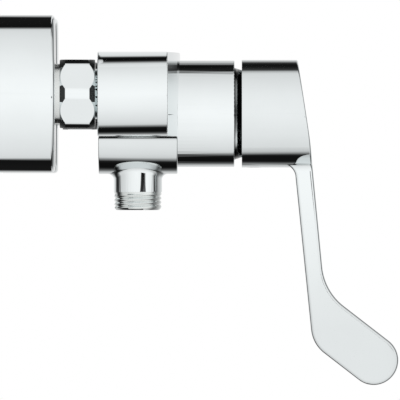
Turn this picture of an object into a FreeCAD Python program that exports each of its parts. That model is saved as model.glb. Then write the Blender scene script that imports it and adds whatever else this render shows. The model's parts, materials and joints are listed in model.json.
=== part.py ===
import FreeCAD, Part
import math
import os

# Exposed single-lever shower mixer for wall mounting, with a long elbow lever.
# Millimetres. The origin is midway between the two water outlets in the wall, on the
# finished wall face. X points out from the wall, Y along it and Z up.

os.makedirs("parts", exist_ok=True)
Vector = FreeCAD.Vector

# Clearances
fit_gap = 0.05  # between two round pieces that are fixed in each other
running_gap = 0.08  # between a turning piece and what it turns on
free_gap = 0.3  # between pieces that pass each other
seal_gap = 0.03  # around a rubber ring in its seat

# Wall unions: an eccentric threaded piece for each water outlet, turned straight up
wall_spacing = 150.0
union_offset = 7.5
tail_r = 10.48
tail_length = 22.0
tail_bore_r = 7.0
offset_start_r = 11.4
offset_length = 11.0
union_thread_r = 13.22
union_bore_r = 9.0

# Wall rosettes: pressed cups over the unions
rosette_r = 34.5
rosette_depth = 24.6
rosette_wall = 1.0
rosette_edge_r = 1.8
rosette_lip = 2.2
rosette_gap = 0.12

# Union nuts
nut_standoff = 2.0  # bare union between rosette and nut
nut_wall = 1.7  # over the thread, at the flats
nut_corner_reach = 1.2  # turned corners over the flats
nut_face_step = 0.2  # end faces within the flats
nut_chamfer_angle = 30.0  # of the turned ends, from the nut's axis
nut_length = 15.5
nut_flange = 2.95
nut_to_body = 1.0

# Filter washers and the nipples that the nuts pull on
washer_thickness = 2.2
washer_play = 0.8  # in the nut's thread
washer_bore_r = 8.4
sieve_thickness = 0.5
sieve_hole_r = 0.9
sieve_pitch = 3.0  # between its rings of holes
nipple_collar = 2.8
nipple_collar_play = 0.7  # in the nut's thread
nipple_neck_r = 10.9
nipple_shank_r = 9.45
nipple_shank_length = 11.4
nipple_bore_r = 6.8
nipple_key_flats = 12.7

# Mixer body: a bar with round ends, a barrel, a sleeve and an outlet stub
bar_half_height = 18.5
bar_depth = 30.8
bar_bow = 5.3
bow_blend_r = 12.0
rim_round = 0.5
barrel_r = 26.6
barrel_depth = 35.0
barrel_drop = 0.2  # the barrel's top lies this much under the bar's flat top
barrel_fillet = 3.5
sleeve_wall = 3.1
sleeve_length = 25.1
sleeve_round = 0.4
outlet_x = 60.5
stub_show = 8.0  # bare stub under the barrel
stub_r = 10.7
stub_fillet = 2.6

# Waterways in the body
leg_chamber_r = 7.5
leg_chamber_depth = 21.0
feed_r = 9.6
feed_depth = 15.4
feed_end = 17.0
feed_throat_r = 5.4
feed_drop = 1.0
web_half = 2.0
mixed_r = 6.0

# Cartridge, 35 mm size
cartridge_r = 17.5
cartridge_seat_depth = 26.9  # from the body's back face
inlet_port_side = 6.5
inlet_port_rise = 5.0
inlet_port_r = 3.2
mixed_port_drop = 8.0
mixed_port_r = 3.8
port_seal_wire_r = 0.9
port_seal_wall = 0.6
base_thickness = 5.0
peg_r = 1.5
peg_length = 3.0
peg_side = 13.0
fixed_disc_thickness = 3.4
moving_disc_r = 11.5
moving_disc_thickness = 3.0
mixing_pocket_depth = 1.6
mixing_pocket_r = 8.6
slider_r = 12.2
slider_thickness = 4.4
slider_tongue_width = 15.0
slider_tongue_length = 11.0
slider_tongue_height = 1.8
drive_key_width = 3.0
drive_key_height = 1.0
housing_wall = 1.9
housing_shoulder_x = 23.0  # from the cartridge's seat
housing_neck_r = 14.0
housing_neck_length = 7.0
housing_web = 2.0
carrier_neck_r = 11.4
carrier_top_r = 10.0
carrier_top_length = 3.2
carrier_slot_half = 6.5
stop_ring_r = 14.2
stop_lug_r = 11.5
stop_lug_half_angle = 6.0
temperature_half_angle = 50.0

# Lever mechanism in the cartridge
pivot_seat = 22.5  # from the cartridge's seat to the lever's pivot
pivot_pin_r = 1.5
pivot_pin_half = 10.6
flow_travel = 25.0
ball_arm = 9.0
ball_r = 2.0
arm_r = 1.4
hub_r = 4.1
stem_square = 7.5
stem_reach = 26.5
stem_edge = 0.6

# Retaining nut and cover ring
clamp_nut_thread = 3.4
clamp_nut_hex = 2.8
ring_wall = 2.35
ring_lip_gap = 0.7  # round the cartridge's stop ring
ring_lip = 2.0
ring_proud = 4.3  # how far it stands out of the sleeve
ring_taper_length = 3.4  # between the sleeve and the ring's neck under the cap
ring_taper = 1.1  # how much the neck lies within the sleeve's bore
ring_round = 0.5

# Handle: cap, lever and paddle in one casting
handle_gap = 3.3
cap_r = 23.8
cap_overhang = 0.3  # how much wider the cap is than the sleeve
cap_length = 28.3
cap_face_lean = 8.6
cap_edge_round = 0.8
cap_mouth_wall = 1.2
cap_mouth_taper = 2.6
cap_wall = 3.0
cap_bore_depth = 18.0
boss_r = 8.4
boss_back = 17.5
socket_end_gap = 0.6
lever_front_reach = 0.7  # front edge line of the lever at the cap's axis, past the cap's face
lever_depth = 8.2  # from there to its back edge line
lever_front_lean = 5.55
lever_back_lean = 5.85
paddle_drop = 37.7
paddle_r = 10.9
paddle_reach = 30.0  # from the cap's face at its axis to the paddle's middle
paddle_z = -109.05
inner_bend_r = 25.0
outer_bend_r = 15.0
front_bend_r = 150.0
lever_width = 13.0
paddle_width = 9.0
lever_edge_round = 1.5
lever_root_r = 6.0  # behind the lever, under the cap
lever_flare_r = 4.0  # beside the lever, seen from the front
lever_flare_span = 6.0
lever_start_depth = 7.1  # below the cap's axis, inside the cap

# Grub screw and the plug that covers it, under the cap
grub_place = 24.0
grub_r = 2.5
grub_length = 7.0
grub_key_flats = 2.5
grub_key_depth = 3.0
grub_pad_r = 4.2
plug_r = 3.3
plug_thickness = 2.2

# Outlet nipple with its ring seal
outlet_thread_r = 10.478
outlet_thread_length = 8.0
outlet_thread_chamfer = 1.0
outlet_bore_r = 6.0
spigot_r = 8.65
spigot_length = 6.0
outlet_ring_wire_r = 0.8
outlet_ring_place = 2.2

# Check valve in the outlet stub
valve_wall = 1.9
valve_seat_thickness = 2.0
valve_seat_r = 4.2
valve_ring_wire_r = 0.7
valve_travel = 2.6
spring_pressed = 2.52  # length of the spring with the valve open
poppet_r = 5.6
poppet_thickness = 1.6
poppet_stem_r = 1.3
spider_thickness = 1.6
spider_hub_r = 3.4
spider_arm_half = 0.9
spring_coil_r = 2.3
spring_wire_r = 0.25
spring_turns = 3

# Places that follow from the values above
inlet_z = union_offset
leg_y = wall_spacing / 2.0
leg_places = {"left": -leg_y, "right": leg_y}
nut_thread_r = union_thread_r + running_gap
nut_flats = 2.0 * (nut_thread_r + nut_wall)
nut_corner_r = nut_flats / 2.0 + nut_corner_reach
nut_face_r = nut_flats / 2.0 - nut_face_step
washer_r = nut_thread_r - washer_play
nipple_collar_r = nut_thread_r - nipple_collar_play
nut_back_x = rosette_depth + nut_standoff
nut_front_x = nut_back_x + nut_length
collar_front_x = nut_front_x - nut_flange - fit_gap
collar_back_x = collar_front_x - nipple_collar
union_front_x = collar_back_x - washer_thickness
body_back_x = nut_front_x + nut_to_body
bar_front_x = body_back_x + bar_depth
barrel_front_x = body_back_x + barrel_depth
sleeve_front_x = barrel_front_x + sleeve_length
axis_z = inlet_z + bar_half_height - barrel_drop - barrel_r
barrel_low_z = axis_z - barrel_r
stub_end_z = barrel_low_z - stub_show
feed_z = inlet_z - feed_drop
feed_x = body_back_x + feed_depth
seat_x = body_back_x + cartridge_seat_depth
cartridge_bore_r = cartridge_r + fit_gap
housing_bore_r = cartridge_r - housing_wall
fixed_disc_r = housing_bore_r - free_gap
ring_lip_bore_r = stop_ring_r + ring_lip_gap
pivot_x = seat_x + pivot_seat
closed_tilt = flow_travel / 2.0
shoulder_x = seat_x + housing_shoulder_x
neck_front_x = shoulder_x + housing_neck_length
sleeve_r = cap_r - cap_overhang
sleeve_bore_r = sleeve_r - sleeve_wall
clamp_nut_r = sleeve_bore_r - fit_gap
clamp_nut_flats = housing_neck_r + clamp_nut_r  # halfway between its hole and its thread
cap_mouth_r = cap_r - cap_mouth_wall
cap_bore_r = cap_r - cap_wall
disc_x = seat_x + base_thickness
moving_disc_x = disc_x + fixed_disc_thickness + fit_gap
slider_x = moving_disc_x + moving_disc_thickness
tongue_x = slider_x + slider_thickness
rotor_x = tongue_x + free_gap
rotor_front_x = shoulder_x - housing_web - running_gap
slider_z = axis_z + ball_arm * math.sin(math.radians(closed_tilt))
ball_x = pivot_x - ball_arm * math.cos(math.radians(closed_tilt))
clamp_nut_front_x = shoulder_x + clamp_nut_thread + clamp_nut_hex
cap_back_x = sleeve_front_x + handle_gap
ring_front_x = sleeve_front_x + ring_proud
outlet_end_z = stub_end_z - outlet_thread_length
stub_bore_r = spigot_r + fit_gap
spigot_top_z = stub_end_z + spigot_length
valve_low_z = spigot_top_z + fit_gap
valve_length = (spider_thickness + spring_pressed + valve_travel + poppet_thickness
                + running_gap + valve_seat_thickness)
valve_top_z = valve_low_z + valve_length
valve_r = spigot_r
seat_under_z = valve_top_z - valve_seat_thickness
poppet_top_z = seat_under_z - running_gap
poppet_low_z = poppet_top_z - poppet_thickness
spider_top_z = valve_low_z + spider_thickness


def turned_x(profile, y=0.0, z=0.0):
    """Turn a closed outline of (x, radius) points about a line along X."""
    points = [Vector(x, y, z + r) for x, r in profile]
    face = Part.Face(Part.makePolygon(points + points[:1]))
    return face.revolve(Vector(0, y, z), Vector(1, 0, 0), 360)


def turned_z(profile, x=0.0, y=0.0):
    """Turn a closed outline of (radius, z) points about a line along Z."""
    points = [Vector(x + r, y, z) for r, z in profile]
    face = Part.Face(Part.makePolygon(points + points[:1]))
    return face.revolve(Vector(x, y, 0), Vector(0, 0, 1), 360)


def rod_x(radius, start, end, y=0.0, z=0.0):
    return Part.makeCylinder(radius, end - start, Vector(start, y, z), Vector(1, 0, 0))


def rod_y(radius, start, end, x=0.0, z=0.0):
    return Part.makeCylinder(radius, end - start, Vector(x, start, z), Vector(0, 1, 0))


def rod_z(radius, low, high, x=0.0, y=0.0):
    return Part.makeCylinder(radius, high - low, Vector(x, y, low), Vector(0, 0, 1))


def ring_x(outer, inner, start, end, y=0.0, z=0.0):
    return rod_x(outer, start, end, y, z).cut(rod_x(inner, start, end, y, z))


def block(x_span, y_span, z_span):
    """A box from three (low, high) pairs."""
    size = [high - low for low, high in (x_span, y_span, z_span)]
    return Part.makeBox(size[0], size[1], size[2], Vector(x_span[0], y_span[0], z_span[0]))


def hexagon_x(flats, start, end, y=0.0, z=0.0, corner_angle=0.0):
    """A six-sided bar along X, with a corner at corner_angle from the Y direction."""
    corner_r = flats / math.sqrt(3.0)
    turns = [math.radians(corner_angle + 60.0 * step) for step in range(6)]
    points = [Vector(start, y + corner_r * math.cos(a), z + corner_r * math.sin(a)) for a in turns]
    face = Part.Face(Part.makePolygon(points + points[:1]))
    return face.extrude(Vector(end - start, 0, 0))


def joined(shapes):
    """Fuse shapes into one and merge the faces that lie in one surface."""
    return shapes[0].fuse(shapes[1:]).removeSplitter()


def edges_where(shape, test):
    """The edges of a shape whose middle point passes a test."""
    return [edge for edge in shape.Edges if test(edge, edge.CenterOfMass)]


def rounded_outline(corners):
    """A closed wire in the XZ plane through (x, z, radius) corners, joined by arcs."""
    points = [Vector(x, 0, z) for x, z, _ in corners]
    bends = []
    for index, (_, _, radius) in enumerate(corners):
        corner = points[index]
        back = (points[index - 1] - corner).normalize()
        ahead = (points[(index + 1) % len(points)] - corner).normalize()
        half = back.getAngle(ahead) / 2.0
        if radius == 0:
            bends.append((corner, None, corner))
            continue
        reach = radius / math.tan(half)
        middle = corner + (back + ahead).normalize() * (radius / math.sin(half) - radius)
        bends.append((corner + back * reach, middle, corner + ahead * reach))
    edges = []
    for index, (start, middle, end) in enumerate(bends):
        if middle is not None:
            edges.append(Part.Arc(start, middle, end).toShape())
        following = bends[(index + 1) % len(bends)][0]
        if (following - end).Length > 1e-4:
            edges.append(Part.LineSegment(end, following).toShape())
    return Part.Wire(edges)


def tilted(shape, degrees=closed_tilt):
    """Turn a shape nose down about the lever's pivot."""
    turned = shape.copy()
    turned.rotate(Vector(pivot_x, 0, axis_z), Vector(0, 1, 0), degrees)
    return turned


def save(name, shape):
    """Write one sub-part to its own file."""
    solids = shape.Solids
    good = shape.isValid() and len(solids) > 0
    print(f"{name:24s} solids {len(solids)} volume {shape.Volume:10.1f} {'' if good else 'NOT VALID'}")
    out = solids[0] if len(solids) == 1 else Part.makeCompound(solids)
    out.exportStep(f"parts/{name}.step")
    return out


def wall_union(y):
    """Threaded tail in the wall, eccentric neck, and the thread that takes the nut."""
    def tube(tail_radius, start_radius, front_radius, over):
        start = Part.Wire(Part.makeCircle(start_radius, Vector(0, y, 0), Vector(1, 0, 0)))
        end_place = Vector(offset_length, y, inlet_z)
        end = Part.Wire(Part.makeCircle(front_radius, end_place, Vector(1, 0, 0)))
        neck = Part.makeLoft([start, end], True, True)
        tail = rod_x(tail_radius, -tail_length - over, 0, y, 0)
        front = rod_x(front_radius, offset_length, union_front_x + over, y, inlet_z)
        return tail.fuse([neck, front])

    return tube(tail_r, offset_start_r, union_thread_r, 0).cut(
        tube(tail_bore_r, tail_bore_r, union_bore_r, 1.0))


def wall_rosette(y):
    """Cup with a rounded front edge and a turned-in lip round the union."""
    bore_r = union_thread_r + rosette_gap
    outer = rod_x(rosette_r, 0, rosette_depth, y, inlet_z)
    front = edges_where(outer, lambda edge, centre: centre.x > rosette_depth - fit_gap)
    outer = outer.makeFillet(rosette_edge_r, front)
    inner_r = rosette_r - rosette_wall
    inner = rod_x(inner_r, -rosette_wall, rosette_depth - rosette_wall, y, inlet_z)
    deep = edges_where(inner, lambda edge, centre: centre.x > 0)
    inner = inner.makeFillet(rosette_edge_r - rosette_wall / 2.0, deep)
    lip_r = bore_r + rosette_wall
    lip = rod_x(lip_r, rosette_depth - rosette_wall - rosette_lip, rosette_depth - rosette_wall, y, inlet_z)
    cup = outer.cut(inner).fuse(lip)
    return cup.cut(rod_x(bore_r, -rosette_wall, rosette_depth + rosette_wall, y, inlet_z)).removeSplitter()


def union_nut(y):
    """Hexagon nut with turned corners, a thread bore and a flange that pulls the nipple."""
    slope = (nut_corner_r - nut_face_r) / math.tan(math.radians(nut_chamfer_angle))
    blank = turned_x([
        (nut_back_x, 0), (nut_back_x, nut_face_r), (nut_back_x + slope, nut_corner_r),
        (nut_front_x - slope, nut_corner_r), (nut_front_x, nut_face_r), (nut_front_x, 0),
    ], y, inlet_z)
    nut = blank.common(hexagon_x(nut_flats, nut_back_x, nut_front_x, y, inlet_z))
    thread = rod_x(nut_thread_r, nut_back_x, nut_front_x - nut_flange, y, inlet_z)
    hole = rod_x(nipple_neck_r + free_gap, nut_back_x, nut_front_x, y, inlet_z)
    return nut.cut(thread).cut(hole)


def filter_washer(y):
    """Flat seal with a sieve plate in its hole."""
    washer = ring_x(washer_r, washer_bore_r, union_front_x, collar_back_x, y, inlet_z)
    middle_x = (union_front_x + collar_back_x) / 2.0
    sieve_start = middle_x - sieve_thickness / 2.0
    sieve = rod_x(washer_bore_r, sieve_start, sieve_start + sieve_thickness, y, inlet_z)
    holes = []
    for ring, count in enumerate((1, 6, 12)):
        for step in range(count):
            turn = 2.0 * math.pi * step / count
            reach = ring * sieve_pitch
            holes.append(rod_x(sieve_hole_r, sieve_start - 1, middle_x + 1,
                               y + reach * math.cos(turn), inlet_z + reach * math.sin(turn)))
    return joined([washer, sieve.cut(holes)])


def inlet_nipple(y):
    """Collar, neck and threaded shank that carries one leg of the body."""
    shank_end = body_back_x + nipple_shank_length
    nipple = turned_x([
        (collar_back_x, nipple_bore_r), (collar_back_x, nipple_collar_r),
        (collar_front_x, nipple_collar_r), (collar_front_x, nipple_neck_r),
        (body_back_x, nipple_neck_r), (body_back_x, nipple_shank_r),
        (shank_end - rim_round, nipple_shank_r), (shank_end, nipple_shank_r - rim_round),
        (shank_end, nipple_bore_r),
    ], y, inlet_z)
    key = hexagon_x(nipple_key_flats, collar_back_x, collar_front_x + nipple_collar, y, inlet_z)
    return nipple.cut(key)


def bar():
    """Bar with round ends whose front face bows out towards the barrel."""
    front_x = bar_front_x + bar_bow
    rods = [rod_x(bar_half_height, body_back_x, front_x, y, inlet_z) for y in leg_places.values()]
    middle = block((body_back_x, front_x), (-leg_y, leg_y),
                   (inlet_z - bar_half_height, inlet_z + bar_half_height))
    blank = joined(rods + [middle])
    flat_y = leg_y - bar_half_height
    end_y = leg_y + 2.0 * bar_half_height
    crown = Part.Arc(Vector(bar_front_x, -flat_y, 0), Vector(front_x, 0, 0), Vector(bar_front_x, flat_y, 0))
    corners = [(bar_front_x, flat_y), (bar_front_x, end_y), (body_back_x, end_y),
               (body_back_x, -end_y), (bar_front_x, -end_y), (bar_front_x, -flat_y)]
    run = Part.makePolygon([Vector(x, y, 0) for x, y in corners])
    plan = Part.Face(Part.Wire([crown.toShape()] + run.Edges)).extrude(Vector(0, 0, 4.0 * bar_half_height))
    plan.translate(Vector(0, 0, inlet_z - 2.0 * bar_half_height))
    kinks = edges_where(plan, lambda edge, centre: abs(abs(centre.y) - flat_y) < fit_gap
                        and abs(centre.x - bar_front_x) < fit_gap)
    shape = blank.common(plan.makeFillet(bow_blend_r, kinks))
    flat_limit = bar_depth / 2.0
    rims = edges_where(shape, lambda edge, centre: edge.BoundBox.XLength < flat_limit)
    return shape.makeFillet(rim_round, rims)


def barrel():
    """Barrel with a hollow round web on each side, where it meets the bar's underside."""
    rod = rod_x(barrel_r, body_back_x, barrel_front_x, 0, axis_z)
    corner_z = inlet_z - bar_half_height
    web_z = corner_z - barrel_fillet
    web_y = math.sqrt((barrel_r + barrel_fillet) ** 2 - (web_z - axis_z) ** 2)
    touch_z = axis_z + (web_z - axis_z) * barrel_r / (barrel_r + barrel_fillet)
    webs = []
    for y in (-web_y, web_y):
        near, far = sorted((0, y))
        web = block((body_back_x, barrel_front_x), (near, far), (touch_z, corner_z + barrel_fillet))
        webs.append(web.cut(rod_x(barrel_fillet, body_back_x, barrel_front_x, y, web_z)))
    shape = joined([rod] + webs)
    ends = edges_where(shape, lambda edge, centre: edge.BoundBox.XLength < fit_gap and centre.z < corner_z)
    return shape.makeFillet(rim_round, ends)


def mixer_body():
    """Bar, barrel, sleeve and outlet stub in one casting, with its waterways bored out."""
    body = joined([bar(), barrel()])
    stub = rod_z(stub_r, stub_end_z, axis_z, outlet_x)
    body = body.fuse(stub)
    saddle = edges_where(body, lambda edge, centre: abs(centre.x - outlet_x) < stub_r
                         and edge.BoundBox.XLength > stub_r and edge.BoundBox.YLength > stub_r
                         and stub_end_z + 1 < centre.z < axis_z)
    body = body.makeFillet(stub_fillet, saddle)
    sleeve = rod_x(sleeve_r, seat_x, sleeve_front_x, 0, axis_z)
    front = edges_where(sleeve, lambda edge, centre: centre.x > sleeve_front_x - fit_gap)
    body = body.fuse(sleeve.makeFillet(sleeve_round, front))
    return body.cut(waterways()).removeSplitter()


def waterways():
    """All the hollows of the body: legs, feeds, ports, the mixed way and the cartridge's seat."""
    hollows = []
    for y in leg_places.values():
        side = math.copysign(1, y)
        shank_end = body_back_x + nipple_shank_length + fit_gap
        hollows.append(rod_x(nipple_shank_r + fit_gap, body_back_x - 1, shank_end, y, inlet_z))
        hollows.append(rod_x(leg_chamber_r, body_back_x, body_back_x + leg_chamber_depth, y, inlet_z))
        near, far = sorted((side * feed_end, y))
        hollows.append(rod_y(feed_r, near, far, feed_x, feed_z))
        near, far = sorted((side * web_half, side * (feed_end + 1)))
        hollows.append(rod_y(feed_throat_r, near, far, feed_x, feed_z))
        port_y = side * inlet_port_side
        hollows.append(rod_x(inlet_port_r, feed_x, seat_x + 1, port_y, axis_z + inlet_port_rise))
        peg_back_x = seat_x - peg_length - fit_gap
        hollows.append(rod_x(peg_r + fit_gap, peg_back_x, seat_x + 1, side * peg_side, axis_z))
    mixed_z = axis_z - mixed_port_drop
    hollows.append(rod_x(mixed_port_r, outlet_x, seat_x + 1, 0, mixed_z))
    hollows.append(rod_z(mixed_r, valve_top_z, mixed_z + mixed_port_r, outlet_x))
    hollows.append(rod_z(stub_bore_r, stub_end_z - 1, valve_top_z + fit_gap, outlet_x))
    hollows.append(rod_x(cartridge_bore_r, seat_x, sleeve_front_x, 0, axis_z))
    hollows.append(rod_x(sleeve_bore_r, shoulder_x, sleeve_front_x + 1, 0, axis_z))
    return hollows


def port_places():
    """(y, z, radius) of the hot, cold and mixed ports, seen along the cartridge."""
    high_z = axis_z + inlet_port_rise
    inlets = [(y, high_z, inlet_port_r) for y in (-inlet_port_side, inlet_port_side)]
    return inlets + [(0.0, axis_z - mixed_port_drop, mixed_port_r)]


def cartridge_base():
    """Bottom of the cartridge with its ports, seal grooves and locating pegs."""
    base = rod_x(cartridge_r, seat_x, disc_x, 0, axis_z)
    pegs = [rod_x(peg_r, seat_x - peg_length, seat_x + 1, y, axis_z) for y in (-peg_side, peg_side)]
    base = joined([base] + pegs)
    for y, z, radius in port_places():
        base = base.cut(rod_x(radius, seat_x - 1, disc_x + 1, y, z))
        inner, outer = seal_groove(radius)
        base = base.cut(ring_x(outer, inner, seat_x - 1, seat_x + 2.0 * port_seal_wire_r, y, z))
    return base


def seal_groove(port_radius):
    """Inner and outer radius of the groove round a port."""
    inner = port_radius + port_seal_wall
    return inner, inner + 2.0 * (port_seal_wire_r + seal_gap)


def port_seals():
    """One rubber ring round each port."""
    rings = []
    for y, z, radius in port_places():
        inner, outer = seal_groove(radius)
        place = Vector(seat_x + port_seal_wire_r, y, z)
        wire_r = port_seal_wire_r - seal_gap
        rings.append(Part.makeTorus((inner + outer) / 2.0, wire_r, place, Vector(1, 0, 0)))
    return Part.makeCompound(rings)


def fixed_disc():
    """Ceramic disc with the three ports."""
    disc = rod_x(fixed_disc_r, disc_x, disc_x + fixed_disc_thickness, 0, axis_z)
    ports = [rod_x(radius, disc_x - 1, moving_disc_x, y, z) for y, z, radius in port_places()]
    return disc.cut(ports)


def moving_disc():
    """Ceramic disc whose pocket joins the ports, with a key slot in its back."""
    disc = rod_x(moving_disc_r, moving_disc_x, slider_x, 0, slider_z)
    pocket = rod_x(mixing_pocket_r, moving_disc_x - 1, moving_disc_x + mixing_pocket_depth, 0, slider_z)
    slot_half = drive_key_width / 2.0 + fit_gap
    slot = block((slider_x - drive_key_height - fit_gap, slider_x + 1), (-slot_half, slot_half),
                 (slider_z - slider_r, slider_z + slider_r))
    return disc.cut(pocket).cut(slot)


def disc_slider():
    """Plastic slider that carries the moving disc and holds the lever's ball in a cup."""
    plate = rod_x(slider_r, slider_x, tongue_x, 0, slider_z)
    tongue = block((tongue_x, tongue_x + slider_tongue_height),
                   (-slider_tongue_width / 2.0, slider_tongue_width / 2.0),
                   (slider_z - slider_tongue_length / 2.0, slider_z + slider_tongue_length / 2.0))
    key_reach = math.sqrt(moving_disc_r ** 2 - drive_key_width ** 2) - free_gap
    key = block((slider_x - drive_key_height, slider_x), (-drive_key_width / 2.0, drive_key_width / 2.0),
                (slider_z - key_reach, slider_z + key_reach))
    slider = joined([plate, tongue, key])
    cup_r = ball_r + running_gap
    cup = rod_x(cup_r, ball_x - ball_r - free_gap, ball_x + free_gap, 0, slider_z)
    mouth_end = tongue_x + slider_tongue_height
    flare = (mouth_end - ball_x) * math.tan(math.radians(closed_tilt))
    mouth = turned_x([(ball_x, 0), (ball_x, cup_r), (mouth_end + 1, cup_r + 2.0 * flare + free_gap),
                      (mouth_end + 1, 0)], 0, slider_z)
    return slider.cut([cup, mouth])


def cartridge_housing():
    """Shell over the discs: wide barrel, shoulder for the nut and a neck for the turning carrier."""
    front = shoulder_x - housing_web
    shell = turned_x([
        (disc_x, housing_bore_r), (disc_x, cartridge_r), (shoulder_x, cartridge_r),
        (shoulder_x, housing_neck_r), (neck_front_x, housing_neck_r),
        (neck_front_x, carrier_neck_r + running_gap), (front, carrier_neck_r + running_gap),
        (front, housing_bore_r),
    ], 0, axis_z)
    return shell


def spindle_carrier():
    """Part that turns with the handle: flange with the slider's guide, neck, slot and stop lug."""
    guide = slider_tongue_height + free_gap
    flange = rod_x(housing_bore_r - free_gap, rotor_x, rotor_front_x, 0, axis_z)
    neck = rod_x(carrier_neck_r, rotor_front_x, neck_front_x, 0, axis_z)
    top_end = neck_front_x + carrier_top_length
    top = rod_x(carrier_top_r, neck_front_x, top_end, 0, axis_z)
    lug = sector_x(stop_lug_r, neck_front_x + running_gap, top_end, stop_lug_half_angle)
    carrier = joined([flange, neck, top, lug])
    groove_half = slider_tongue_width / 2.0 + running_gap
    groove = block((rotor_x - 1, rotor_x + guide), (-groove_half, groove_half),
                   (axis_z - housing_bore_r, axis_z + housing_bore_r))
    slot_half = stem_square / 2.0 + running_gap
    slot = block((rotor_x, top_end + 1), (-slot_half, slot_half),
                 (axis_z - carrier_slot_half, axis_z + carrier_slot_half))
    pin_hole = rod_y(pivot_pin_r + fit_gap, -housing_bore_r, housing_bore_r, pivot_x, axis_z)
    return carrier.cut([groove, slot, pin_hole])


def sector_x(radius, start, end, half_angle):
    """A wedge of a disc about the cartridge's axis, centred upwards."""
    reach = 2.0 * radius
    side = reach * math.tan(math.radians(half_angle))
    high_z = axis_z + reach
    corners = [Vector(start, 0, axis_z), Vector(start, side, high_z), Vector(start, -side, high_z)]
    wedge = Part.Face(Part.makePolygon(corners + corners[:1])).extrude(Vector(end - start, 0, 0))
    return wedge.common(rod_x(radius, start, end, 0, axis_z))


def temperature_stop_ring():
    """Ring on the housing's neck whose window limits how far the carrier's lug turns."""
    start = neck_front_x
    end = neck_front_x + carrier_top_length
    ring = ring_x(stop_ring_r, carrier_top_r + free_gap, start, end, 0, axis_z)
    window_r = stop_lug_r + free_gap
    half = temperature_half_angle + stop_lug_half_angle + 1.0
    window = rod_x(window_r, start - 1, end + 1, 0, axis_z)
    turns = [math.radians(90.0 - half * share) for share in (1.0, 0.5, 0.0, -0.5, -1.0)]
    reach = 2.0 * window_r
    corners = [Vector(start - 1, 0, axis_z)]
    corners += [Vector(start - 1, reach * math.cos(a), axis_z + reach * math.sin(a)) for a in turns]
    fan = Part.Face(Part.makePolygon(corners + corners[:1])).extrude(Vector(end - start + 2, 0, 0))
    return ring.cut(window.common(fan))


def spindle():
    """Lever of the cartridge: ball, arm, hub on the pivot pin and square stem."""
    half = stem_square / 2.0
    ball = Part.makeSphere(ball_r, Vector(pivot_x - ball_arm, 0, axis_z))
    arm = rod_x(arm_r, pivot_x - ball_arm, pivot_x, 0, axis_z)
    hub = rod_y(hub_r, -half, half, pivot_x, axis_z)
    stem = block((pivot_x, pivot_x + stem_reach), (-half, half), (axis_z - half, axis_z + half))
    end = edges_where(stem, lambda edge, centre: centre.x > pivot_x + stem_reach - fit_gap)
    stem = stem.makeChamfer(stem_edge, end)
    lever = joined([ball, arm, hub, stem])
    lever = lever.cut(rod_y(pivot_pin_r + running_gap, -cap_r, cap_r, pivot_x, axis_z))
    return tilted(lever)


def pivot_pin():
    return rod_y(pivot_pin_r, -pivot_pin_half, pivot_pin_half, pivot_x, axis_z)


def clamp_nut():
    """Ring nut that holds the cartridge down, with a hexagon for the spanner."""
    thread_end = shoulder_x + clamp_nut_thread
    thread = rod_x(clamp_nut_r, shoulder_x, thread_end, 0, axis_z)
    hexagon = hexagon_x(clamp_nut_flats, thread_end, clamp_nut_front_x, 0, axis_z)
    hexagon = hexagon.common(rod_x(clamp_nut_r - stem_edge, thread_end, clamp_nut_front_x, 0, axis_z))
    hole = rod_x(housing_neck_r + fit_gap, shoulder_x, clamp_nut_front_x, 0, axis_z)
    return joined([thread, hexagon]).cut(hole)


def cover_ring():
    """Turned ring in the sleeve's mouth that closes the view under the cap."""
    start = clamp_nut_front_x
    inside = clamp_nut_r - ring_wall
    neck_x = sleeve_front_x + ring_taper_length
    neck_r = clamp_nut_r - ring_taper
    ring = turned_x([
        (start, inside), (start, clamp_nut_r), (sleeve_front_x, clamp_nut_r), (neck_x, neck_r),
        (ring_front_x - ring_round, neck_r), (ring_front_x, neck_r - ring_round),
        (ring_front_x, ring_lip_bore_r), (ring_front_x - ring_lip, ring_lip_bore_r),
        (ring_front_x - ring_lip, inside),
    ], 0, axis_z)
    return ring


def lever_corners():
    """Side outline of lever and paddle as (x, z, bend radius) corners."""
    front_slope = math.tan(math.radians(lever_front_lean))
    back_slope = math.tan(math.radians(lever_back_lean))
    face_slope = math.tan(math.radians(cap_face_lean))
    drop = math.radians(paddle_drop)
    along = (math.cos(drop), -math.sin(drop))
    across = (math.sin(drop), math.cos(drop))
    face_x = cap_back_x + cap_length
    centre = (face_x + paddle_reach, axis_z + paddle_z)

    def meet(line_x, slope, side):
        """Where a lever edge, x = line_x - slope * height, meets one edge of the paddle."""
        edge_x = centre[0] + side * paddle_r * across[0]
        edge_z = centre[1] + side * paddle_r * across[1]
        # the paddle's edge is edge + t * along
        t = (line_x - slope * (edge_z - axis_z) - edge_x) / (along[0] + slope * along[1])
        return edge_x + t * along[0], edge_z + t * along[1]

    front_x = face_x + lever_front_reach
    back_x = front_x - lever_depth
    root_depth = cap_depth(lever_width / 2.0 + lever_flare_r / 2.0)
    bend_depth = (front_x - face_x) / (face_slope - front_slope)
    inner = meet(front_x, front_slope, 1.0)
    outer = meet(back_x, back_slope, -1.0)
    tip = (centre[0] + paddle_r * along[0], centre[1] + paddle_r * along[1])
    upper_tip = (tip[0] + paddle_r * across[0], tip[1] + paddle_r * across[1])
    lower_tip = (tip[0] - paddle_r * across[0], tip[1] - paddle_r * across[1])
    tip_round = paddle_r - fit_gap
    return [
        (face_x + face_slope * lever_start_depth, axis_z - lever_start_depth, 0),
        (face_x + face_slope * bend_depth, axis_z - bend_depth, front_bend_r),
        (inner[0], inner[1], inner_bend_r),
        (upper_tip[0], upper_tip[1], tip_round),
        (lower_tip[0], lower_tip[1], tip_round),
        (outer[0], outer[1], outer_bend_r),
        (back_x + back_slope * root_depth, axis_z - root_depth, lever_root_r),
        (back_x - 2.0 * lever_root_r, axis_z - root_depth, 0),
        (back_x - 2.0 * lever_root_r, axis_z - lever_start_depth, 0),
    ]


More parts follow.
